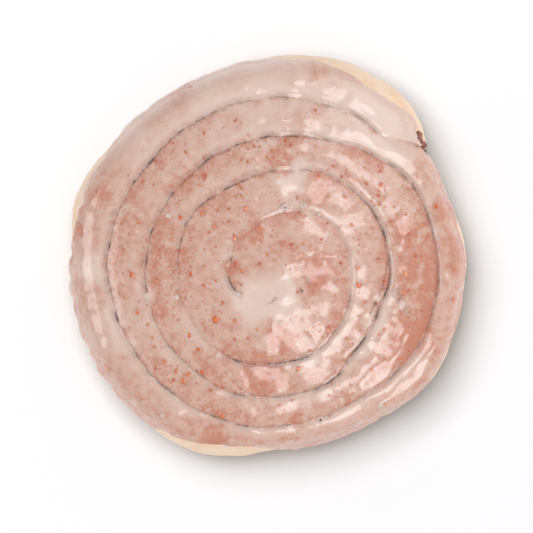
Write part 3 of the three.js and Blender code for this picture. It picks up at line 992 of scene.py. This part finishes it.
def copy_of(node, name):
    """A merged, quad-faced copy of a solid."""
    bm = bmesh.new()
    bm.from_mesh(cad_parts[node].data)
    bmesh.ops.remove_doubles(bm, verts=bm.verts, dist=SOLID_WELD)
    bmesh.ops.join_triangles(
        bm, faces=bm.faces[:], angle_face_threshold=math.pi, angle_shape_threshold=math.pi
    )
    return finished(name, bm)


def make_dough():
    """The dough: its solid, swollen and smoothed, with a wrinkled side."""
    made = copy_of("dough", "dough_strip")
    for vert in made.data.vertices:
        vert.co += swelling(vert.co)
    modifier = made.modifiers.new("fine", "SUBSURF")
    modifier.levels = DOUGH_LEVELS
    modifier.render_levels = DOUGH_LEVELS
    add_wrinkles(made)
    return made


def swelling(place):
    """What the free side gains, because the smoothing draws it in, and what the hidden top settles."""
    x, y = from_axis(place)
    height = place.z / MM
    bearing = bearing_of(x, y)
    depth = edge_reach(outer_wound(bearing)) - math.hypot(x, y)
    risen = smooth(height, *SWELL_FOOT) * fade(height, *SWELL_TOP)
    gained = (DOUGH_SWELL + ramp(WAIST_SWELL, bearing)) * fade(depth, *SWELL_DEPTH) * risen
    settled = DOUGH_SETTLE * smooth(height, *SETTLE_HEIGHTS)
    return (Vector((x, y, 0)).normalized() * gained + DOWN * settled) * MM


def add_wrinkles(made):
    """The soft unevenness of a baked side, which leaves the flat foot alone."""
    side = made.vertex_groups.new(name="side")
    for vert in made.data.vertices:
        side.add([vert.index], smooth(vert.co.z / MM, *WRINKLE_HEIGHTS), "REPLACE")
    wrinkles = bpy.data.textures.new("dough_wrinkles", "CLOUDS")
    wrinkles.noise_scale = WRINKLE_LENGTH * MM
    wrinkles.noise_depth = WRINKLE_DEPTH
    modifier = made.modifiers.new("wrinkles", "DISPLACE")
    modifier.texture = wrinkles
    modifier.texture_coords = "LOCAL"
    modifier.strength = WRINKLE_RISE * MM
    modifier.vertex_group = side.name


def make_filling():
    """The filling, its outer end lifted off the floor, because the dough's foot is round there."""
    made = copy_of("filling", "cinnamon_filling")
    for vert in made.data.vertices:
        if math.hypot(*from_axis(vert.co)) > FILLING_END_REACH:
            vert.co.z = max(vert.co.z, FILLING_LIFT * MM)
    return made


def under(surface, x, y):
    """Where a thing let fall at a place meets the icing, and which way the icing faces there."""
    return surface.ray_cast(in_frame(x, y, DROP_HEIGHT), DOWN)[:2]


def on_surface(surface, x, y):
    """The turn and move that set a shape upright on the icing at a place."""
    spot, normal = under(surface, x, y)
    return Matrix.Translation(spot) @ normal.to_track_quat("Z", "Y").to_matrix().to_4x4()


def make_crumbs(surface):
    """Lumps of filling that stand out of the notch beside the strip's tail, down its end."""
    chance = random.Random(CRUMB_SEED)
    crumbs = []
    for step in range(CRUMBS):
        share = step / (CRUMBS - 1)
        px = mix(CRUMB_START[0], CRUMB_END[0], share) + chance.uniform(-CRUMB_SPREAD, CRUMB_SPREAD)
        py = mix(CRUMB_START[1], CRUMB_END[1], share) + chance.uniform(-CRUMB_SPREAD, CRUMB_SPREAD)
        x, y = pixel_place(px, py)
        hanging = in_frame(x, y, chance.uniform(*CRUMB_HEIGHTS))
        spot = under(surface, x, y)[0] or hanging
        crumbs.append((Matrix.Translation(spot), chance.uniform(*CRUMB_RADIUS)))
    shape = bmesh.new()
    bmesh.ops.create_icosphere(shape, subdivisions=CRUMB_LEVELS, radius=1.0)
    return joined_blobs("filling_crumbs", crumbs, shape, CRUMB_RISE, CRUMB_SUNK, chance)


def make_spots(surface):
    """Small flat blisters of orange dough that show through the glaze, the marked ones and finer ones."""
    chance = random.Random(SPOT_SEED)
    places = [(*pixel_place(px, py), SPOT_RADIUS * width * MM_PER_PIXEL) for px, py, width in SPOTS]
    while len(places) < len(SPOTS) + FINE_SPOTS:
        reach = FINE_SPOT_REACH * math.sqrt(chance.random())
        angle = chance.uniform(0, math.tau)
        x, y = reach * math.cos(angle), reach * math.sin(angle)
        clear = patch_amount(x, y) < FINE_SPOT_PATCH * chance.random()
        if clear and swell(x, y, FINE_SPOT_CLUSTERS) > FINE_SPOT_STRAY * chance.uniform(-1, 1):
            places.append((x, y, chance.uniform(*FINE_SPOT_RADIUS)))
    spots = [(on_surface(surface, x, y), radius) for x, y, radius in places]
    shape = bmesh.new()
    bmesh.ops.create_uvsphere(shape, u_segments=SPOT_SIDES, v_segments=SPOT_RINGS, radius=1.0)
    return joined_blobs("orange_blisters", spots, shape, SPOT_RISE, SPOT_SUNK, chance)


def joined_blobs(name, places, shape, rise, sunk, chance):
    """One mesh of many uneven copies of a shape, at places given with their radius."""
    points, faces, middles, tints = [], [], [], []
    for place, radius in places:
        turned = Matrix.Rotation(chance.uniform(0, math.tau), 4, "Z")
        narrow = radius * chance.uniform(*BLOB_NARROW)
        size = Matrix.Diagonal((radius * MM, narrow * MM, rise * radius * MM, 1))
        placed = place @ turned @ size @ Matrix.Translation(DOWN * sunk)
        shift = chance.uniform(0, BLOB_SHIFTS)
        tint = chance.random()
        first = len(points)
        faces += [[first + vert.index for vert in face.verts] for face in shape.faces]
        for vert in shape.verts:
            uneven = 1 + swell(vert.co.x * BLOB_WAVES + shift, vert.co.y * BLOB_WAVES, BLOB_LUMPS)
            points.append(placed @ (vert.co * uneven))
            middles.append(clamp(vert.co.z) ** 2)
            tints.append(tint)
    shape.free()
    mesh = bpy.data.meshes.new(name)
    mesh.from_pydata(points, [], faces)
    for layer, values in (("middle", middles), ("tint", tints)):
        mesh.attributes.new(layer, "FLOAT", "POINT").data.foreach_set("value", values)
    mesh.shade_smooth()
    return linked(name, mesh)


def make_bubbles(surface):
    """Bubbles in the glaze: low rings, some of them burst to a dark pit."""
    bm = bmesh.new()
    pit = bm.verts.layers.float.new("pit")
    for px, py, width, dark in BUBBLES:
        place = on_surface(surface, *pixel_place(px, py))
        add_bubble(bm, pit, place @ Matrix.Scale(width / 2 * MM_PER_PIXEL * MM, 4), dark)
    return finished("glaze_bubbles", bm)


def add_bubble(bm, pit, place, dark):
    others = set(bm.verts)
    verts = []
    for out, up, lowered, shade in BUBBLE_PROFILE:
        verts.append(bm.verts.new((out, 0, up - lowered * dark)))
        verts[-1][pit] = shade * dark
    edges = [bm.edges.new(pair) for pair in zip(verts, verts[1:])]
    bmesh.ops.spin(
        bm, geom=verts + edges, cent=(0, 0, 0), axis=(0, 0, 1), angle=math.tau, steps=BUBBLE_STEPS,
        use_merge=True, use_duplicate=False,
    )
    bmesh.ops.remove_doubles(bm, verts=[vert for vert in bm.verts if vert not in others], dist=BUBBLE_WELD)
    bmesh.ops.transform(bm, matrix=place, verts=[vert for vert in bm.verts if vert not in others])


def new_material(name, finish):
    """A material whose shader has the values of a finish that are the same all over."""
    material = bpy.data.materials.new(name)
    material.use_nodes = True
    tree = material.node_tree
    shader = tree.nodes["Principled BSDF"]
    for socket, value in finish.items():
        shader.inputs[socket].default_value = value
    return material, tree, shader


def math_node(tree, operation, *values):
    made = tree.nodes.new("ShaderNodeMath")
    made.operation = operation
    for socket, value in zip(made.inputs, values):
        if isinstance(value, (int, float)):
            socket.default_value = value
        else:
            tree.links.new(value, socket)
    return made.outputs[0]


def plus(tree, value, *others):
    """A value plus others, each given with the amount that it is multiplied by."""
    for other, amount in others:
        value = math_node(tree, "MULTIPLY_ADD", other, amount, value)
    return value


def product(tree, *values):
    result = values[0]
    for value in values[1:]:
        result = math_node(tree, "MULTIPLY", result, value)
    return result


def make_grain_group():
    """Noise over a surface, as it is and swung round 0 to reach about 1 either way."""
    group = bpy.data.node_groups.new("grain", "ShaderNodeTree")
    group.interface.new_socket("Place", in_out="INPUT", socket_type="NodeSocketVector")
    for name in ("Scale", "Detail", "Roughness"):
        group.interface.new_socket(name, in_out="INPUT", socket_type="NodeSocketFloat")
    for name in ("Noise", "Swing"):
        group.interface.new_socket(name, in_out="OUTPUT", socket_type="NodeSocketFloat")
    given = group.nodes.new("NodeGroupInput").outputs
    texture = group.nodes.new("ShaderNodeTexNoise")
    group.links.new(given["Place"], texture.inputs["Vector"])
    for name in ("Scale", "Detail", "Roughness"):
        group.links.new(given[name], texture.inputs[name])
    result = group.nodes.new("NodeGroupOutput").inputs
    value = texture.outputs["Fac"]
    swing = math_node(group, "MULTIPLY_ADD", value, SWING_GAIN, -SWING_GAIN / 2)
    group.links.new(value, result["Noise"])
    group.links.new(swing, result["Swing"])
    return group


GRAIN_GROUP = make_grain_group()


def grain(tree, place, kind):
    """The two results of the grain group, placed in a material for noise of a kind."""
    made = tree.nodes.new("ShaderNodeGroup")
    made.node_tree = GRAIN_GROUP
    tree.links.new(place, made.inputs["Place"])
    for name, value in zip(("Scale", "Detail", "Roughness"), kind):
        made.inputs[name].default_value = value
    return made.outputs["Noise"], made.outputs["Swing"]


def scattered(tree, place, scale):
    """Distance to the nearest of scattered points, and a random value of its own for each of them."""
    made = tree.nodes.new("ShaderNodeTexVoronoi")
    made.inputs["Scale"].default_value = scale
    tree.links.new(place, made.inputs["Vector"])
    split = tree.nodes.new("ShaderNodeSeparateColor")
    tree.links.new(made.outputs["Color"], split.inputs[0])
    return made.outputs["Distance"], split.outputs["Red"]


def wobbled(tree, place, scale, amount):
    """Places moved by noise, about so many millimetres, so that what is drawn there gets ragged edges."""
    made = tree.nodes.new("ShaderNodeTexNoise")
    made.inputs["Scale"].default_value = scale
    tree.links.new(place, made.inputs["Vector"])
    push = tree.nodes.new("ShaderNodeVectorMath")
    push.operation = "MULTIPLY_ADD"
    tree.links.new(made.outputs["Color"], push.inputs[0])
    push.inputs[1].default_value = (2 * amount * MM,) * 3
    tree.links.new(place, push.inputs[2])
    return push.outputs[0]


def stepped(tree, value, step):
    """A value after a smooth step."""
    made = tree.nodes.new("ShaderNodeMapRange")
    made.interpolation_type = "SMOOTHSTEP"
    tree.links.new(value, made.inputs["Value"])
    for name, number in zip(("From Min", "From Max", "To Min", "To Max"), step):
        made.inputs[name].default_value = number
    return made.outputs["Result"]


def blend(tree, share, a, b):
    """A colour between two colours, each a socket or the 0 to 255 of a screen."""
    made = tree.nodes.new("ShaderNodeMix")
    made.data_type = "RGBA"
    tree.links.new(share, made.inputs[0])
    for socket, value in ((made.inputs[MIX_FIRST], a), (made.inputs[MIX_SECOND], b)):
        if isinstance(value, tuple):
            socket.default_value = linear(value)
        else:
            tree.links.new(value, socket)
    return made.outputs[MIX_RESULT]


def attribute(tree, name):
    made = tree.nodes.new("ShaderNodeAttribute")
    made.attribute_name = name
    return made.outputs["Fac"]


def object_place(tree):
    return tree.nodes.new("ShaderNodeTexCoord").outputs["Object"]


def add_bump(tree, shader, height, strength, depth):
    bump = tree.nodes.new("ShaderNodeBump")
    bump.inputs["Strength"].default_value = strength
    bump.inputs["Distance"].default_value = depth * MM
    tree.links.new(height, bump.inputs["Height"])
    tree.links.new(bump.outputs["Normal"], shader.inputs["Normal"])


def icing_material():
    """Glaze with seams and dark marks, and a softly rippled face."""
    material, tree, shader = new_material("icing", ICING_FINISH)
    place = object_place(tree)
    colour = glaze_colour(tree, place)
    colour = marked_colour(tree, *seam_colour(tree, place, colour))
    tree.links.new(colour, shader.inputs["Base Color"])
    waves, _ = grain(tree, place, ICING_WAVES)
    ripples, _ = grain(tree, place, ICING_RIPPLES)
    add_bump(tree, shader, plus(tree, waves, (ripples, RIPPLE_RISE)), *ICING_BUMP)
    return material


def glaze_colour(tree, place):
    """Glaze over browned dough: thin and mottled, ivory where it pools, with flecks and freckles."""
    _, cloud = grain(tree, place, ICING_CLOUD)
    mottle, mottle_swing = grain(tree, place, ICING_MOTTLE)
    fine, fine_swing = grain(tree, place, ICING_GRAIN)
    depth = stepped(tree, plus(tree, attribute(tree, "glaze"), (cloud, DEPTH_CLOUD)), DEPTH)
    thin = plus(tree, mottle, (fine_swing, THIN_GRAIN), (cloud, THIN_CLOUD))
    colour = blend(tree, stepped(tree, thin, THIN), GLAZE_COLOUR, THIN_COLOUR)
    mottled = stepped(tree, attribute(tree, "calm"), CALM_RIM)
    veil, _ = grain(tree, wobbled(tree, place, *VEIL_WOBBLE), VEIL_GRAIN)
    colour = blend(tree, product(tree, stepped(tree, veil, VEIL), mottled), colour, VEIL_COLOUR)
    colour = blend(tree, depth, colour, POOL_COLOUR)
    sways = (cloud, BROWN_CLOUD), (mottle_swing, BROWN_MOTTLE), (fine_swing, BROWN_GRAIN)
    brown = stepped(tree, plus(tree, attribute(tree, "brown"), *sways), BROWN)
    colour = blend(tree, product(tree, brown, BROWN_MOST), colour, BROWNED_COLOUR)
    bare = product(tree, stepped(tree, depth, UNDER_GLAZE), mottled)
    flecks = product(tree, stepped(tree, fine, FLECKS), stepped(tree, brown, FLECKS_IN_BROWN), bare)
    colour = blend(tree, flecks, colour, FLECK_COLOUR)
    return blend(tree, product(tree, freckles(tree, place, mottle), bare), colour, FRECKLE_COLOUR)


def freckles(tree, place, mottle):
    """Small ragged flecks of browned dough, in clusters."""
    away, luck = scattered(tree, wobbled(tree, place, *FRECKLE_WOBBLE), FRECKLE_SCALE)
    size = stepped(tree, luck, FRECKLE_SIZE)
    dot = stepped(tree, math_node(tree, "SUBTRACT", size, away), FRECKLE_EDGE)
    return product(tree, dot, stepped(tree, mottle, FRECKLE_CLUSTERS))


def seam_colour(tree, place, colour):
    """The seams: a broken dark line of filling and painted shadow, a band of painted shade outside it and a
    red-brown fringe inside it.

    Gives the colour, and the fine swing that makes them ragged.
    """
    dark = attribute(tree, "dark")
    side = attribute(tree, "side")
    coarse, _ = grain(tree, place, SEAM_COARSE)
    fine, fine_swing = grain(tree, place, SEAM_FINE)
    away = plus(tree, attribute(tree, "away"), (fine_swing, SEAM_RAGGED))
    # a band of painted shade on the glaze outside the seam
    band = product(tree, stepped(tree, away, SEAM_SHADE_BAND), stepped(tree, side, OUTSIDE_SEAM), dark)
    band = product(tree, band, stepped(tree, coarse, SEAM_SHADE_PATCHY), SEAM_SHADE_MOST)
    colour = blend(tree, band, colour, SEAM_SHADE_COLOUR)
    fringe = product(tree, stepped(tree, away, FRINGE), stepped(tree, side, INSIDE_SEAM), dark)
    fringe = product(tree, fringe, stepped(tree, fine, FRINGE_BROKEN), FRINGE_MOST)
    colour = blend(tree, fringe, colour, FRINGE_COLOUR)
    # the dark line: filling seen through thin glaze, darkened further by painted shadow where the seam is
    # undercut
    width = stepped(tree, coarse, LINE_WIDTH)
    line = stepped(tree, math_node(tree, "SUBTRACT", width, away), LINE_EDGE)
    whole = plus(tree, coarse, (fine_swing, LINE_RAGGED), (dark, LINE_WHOLE))
    line = product(tree, line, stepped(tree, whole, LINE_BROKEN), dark)
    return blend(tree, line, colour, SEAM_COLOUR), fine_swing


def marked_colour(tree, colour, fine_swing):
    """The dark marks in the glaze."""
    mark = plus(tree, attribute(tree, "mark"), (fine_swing, MARK_RAGGED))
    return blend(tree, product(tree, stepped(tree, mark, MARK), MARK_MOST), colour, SEAM_COLOUR)


def spot_material():
    """Fried dough: an orange heart with a browner ring, which the glaze pales at its edge."""
    material, tree, shader = new_material("orange_blisters", SPOT_FINISH)
    _, swing = grain(tree, object_place(tree), SPOT_GRAIN)
    middle = plus(tree, attribute(tree, "middle"), (swing, SPOT_RAGGED))
    heart = blend(tree, attribute(tree, "tint"), SPOT_DARK_COLOUR, SPOT_PALE_COLOUR)
    colour = blend(tree, stepped(tree, middle, SPOT_RING), SPOT_EDGE_COLOUR, SPOT_RING_COLOUR)
    colour = blend(tree, stepped(tree, middle, SPOT_HEART), colour, heart)
    tree.links.new(colour, shader.inputs["Base Color"])
    return material


def bubble_material():
    """Clear glaze that darkens into a burst bubble's pit."""
    material, tree, shader = new_material("glaze_bubbles", BUBBLE_FINISH)
    _, swing = grain(tree, object_place(tree), BUBBLE_GRAIN)
    pit = plus(tree, attribute(tree, "pit"), (swing, BUBBLE_RAGGED))
    colour = blend(tree, stepped(tree, pit, BUBBLE_PIT), BUBBLE_COLOUR, PIT_COLOUR)
    tree.links.new(colour, shader.inputs["Base Color"])
    return material


def dough_material():
    """Baked dough: pale at the waist, golden and then brown towards the foot, with pores."""
    material, tree, shader = new_material("dough", DOUGH_FINISH)
    place = object_place(tree)
    split = tree.nodes.new("ShaderNodeSeparateXYZ")
    tree.links.new(place, split.inputs[0])
    cloud, cloud_swing = grain(tree, place, DOUGH_CLOUD)
    mottle, mottle_swing = grain(tree, place, DOUGH_MOTTLE)
    fine, _ = grain(tree, place, DOUGH_GRAIN)
    height = plus(tree, split.outputs["Z"], (cloud_swing, HEIGHT_CLOUD), (mottle_swing, HEIGHT_MOTTLE))
    warm = plus(tree, cloud, (mottle_swing, WARM_MOTTLE))
    colour = blend(tree, stepped(tree, warm, WARM), DOUGH_PALE, DOUGH_WARM)
    colour = blend(tree, stepped(tree, height, GOLD), colour, DOUGH_GOLD)
    baked = product(tree, stepped(tree, height, BAKED), stepped(tree, mottle, BAKED_PATCHY))
    colour = blend(tree, baked, colour, DOUGH_BROWN)
    pores = product(tree, stepped(tree, fine, PORES), stepped(tree, cloud, PORE_CLUSTERS))
    colour = blend(tree, pores, colour, DOUGH_GOLD)
    tree.links.new(colour, shader.inputs["Base Color"])
    add_bump(tree, shader, plus(tree, mottle, (fine, PORE_DEPTH)), *DOUGH_BUMP)
    return material


def crumb_material():
    """Crumbs of cinnamon paste, each of its own brown."""
    material, tree, shader = new_material("filling_crumbs", CRUMB_FINISH)
    _, swing = grain(tree, object_place(tree), CRUMB_GRAIN)
    tint = plus(tree, attribute(tree, "tint"), (swing, CRUMB_SWAY))
    colour = blend(tree, stepped(tree, tint, CRUMB_TINT), CRUMB_DARK, CRUMB_LIGHT)
    tree.links.new(colour, shader.inputs["Base Color"])
    return material


def filling_material():
    """Dark paste of cinnamon and sugar."""
    material, tree, shader = new_material("filling", FILLING_FINISH)
    speckle, _ = grain(tree, object_place(tree), FILLING_GRAIN)
    colour = blend(tree, stepped(tree, speckle, FILLING_TINT), FILLING_DARK, FILLING_LIGHT)
    tree.links.new(colour, shader.inputs["Base Color"])
    return material


# What the lights shine on: the roll's lights leave the floor alone, and the floor's light the roll
ROLL = bpy.data.collections.new("roll")
STAGE = bpy.data.collections.new("stage")


def add_part(made, material, replaced=None):
    made.data.materials.append(material)
    ROLL.objects.link(made)
    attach(made, "root")
    if replaced:
        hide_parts(replaced)


def surface_of(made):
    return BVHTree.FromObject(made, bpy.context.evaluated_depsgraph_get())


def build_roll():
    icing = make_icing()
    add_part(icing, icing_material(), "icing")
    add_part(make_dough(), dough_material(), "dough")
    add_part(make_filling(), filling_material(), "filling")
    surface = surface_of(icing)
    add_part(make_spots(surface), spot_material())
    add_part(make_bubbles(surface), bubble_material())
    add_part(make_crumbs(surface), crumb_material())


def make_floor():
    bm = bmesh.new()
    bmesh.ops.create_grid(bm, x_segments=1, y_segments=1, size=FLOOR_HALF)
    floor = finished("floor", bm)
    material, _, shader = new_material("floor", FLOOR_FINISH)
    shader.inputs["Base Color"].default_value = linear(FLOOR_COLOUR)
    floor.data.materials.append(material)
    STAGE.objects.link(floor)


def add_light(name, bearing, tilt, distance, size, power, lit):
    """A soft box that looks at the roll, so far off the vertical, towards a bearing."""
    data = bpy.data.lights.new(name, "AREA")
    data.shape = "RECTANGLE"
    data.size, data.size_y = size
    data.energy = power
    made = linked(name, data)
    flat = math.sin(math.radians(tilt))
    toward = Vector((*around(bearing, flat), math.cos(math.radians(tilt))))
    made.location = toward * distance
    made.rotation_euler = (-toward).to_track_quat("-Z", "Y").to_euler()
    made.light_linking.receiver_collection = lit
    return made


def light_scene():
    world = bpy.data.worlds.new("studio")
    world.use_nodes = True
    background = world.node_tree.nodes["Background"]
    background.inputs["Color"].default_value = WORLD_COLOUR
    background.inputs["Strength"].default_value = WORLD_STRENGTH
    bpy.context.scene.world = world
    for bearing, tilt, power in FILL_BOXES:
        fill = add_light("fill", bearing, tilt, BOX_DISTANCE, FILL_SIZE, power, ROLL)
        fill.visible_glossy = False
        fill.data.color = FILL_TINT
    for bearing, tilt, size, power in SHINE_BOXES:
        box = add_light("shine", bearing, tilt, BOX_DISTANCE, size, power, ROLL)
        box.data.color = SHINE_TINT
        box.visible_diffuse = False
    add_light(
        "floor_light", *FLOOR_LIGHT_PLACE, FLOOR_LIGHT_DISTANCE, FLOOR_LIGHT_SIZE, FLOOR_LIGHT_POWER, STAGE
    )
    bpy.context.scene.view_settings.view_transform = "Standard"
    bpy.context.scene.view_settings.look = "None"


def aim_camera():
    """Looks straight down, so that a pixel's width at the waist is what the photograph's is."""
    field = PHOTO_SIDE * MM_PER_PIXEL * MM
    data = bpy.data.cameras.new("camera")
    data.sensor_width = CAMERA_SENSOR
    data.lens = data.sensor_width * (CAMERA_DISTANCE - WAIST_HEIGHT * MM) / field
    data.clip_end = CAMERA_END
    made = linked("camera", data)
    x, y = pixel_place(PHOTO_SIDE / 2, PHOTO_SIDE / 2)
    made.location = (*in_frame(x, y, 0).xy, CAMERA_DISTANCE)
    bpy.context.scene.camera = made


build_roll()
make_floor()
light_scene()
aim_camera()
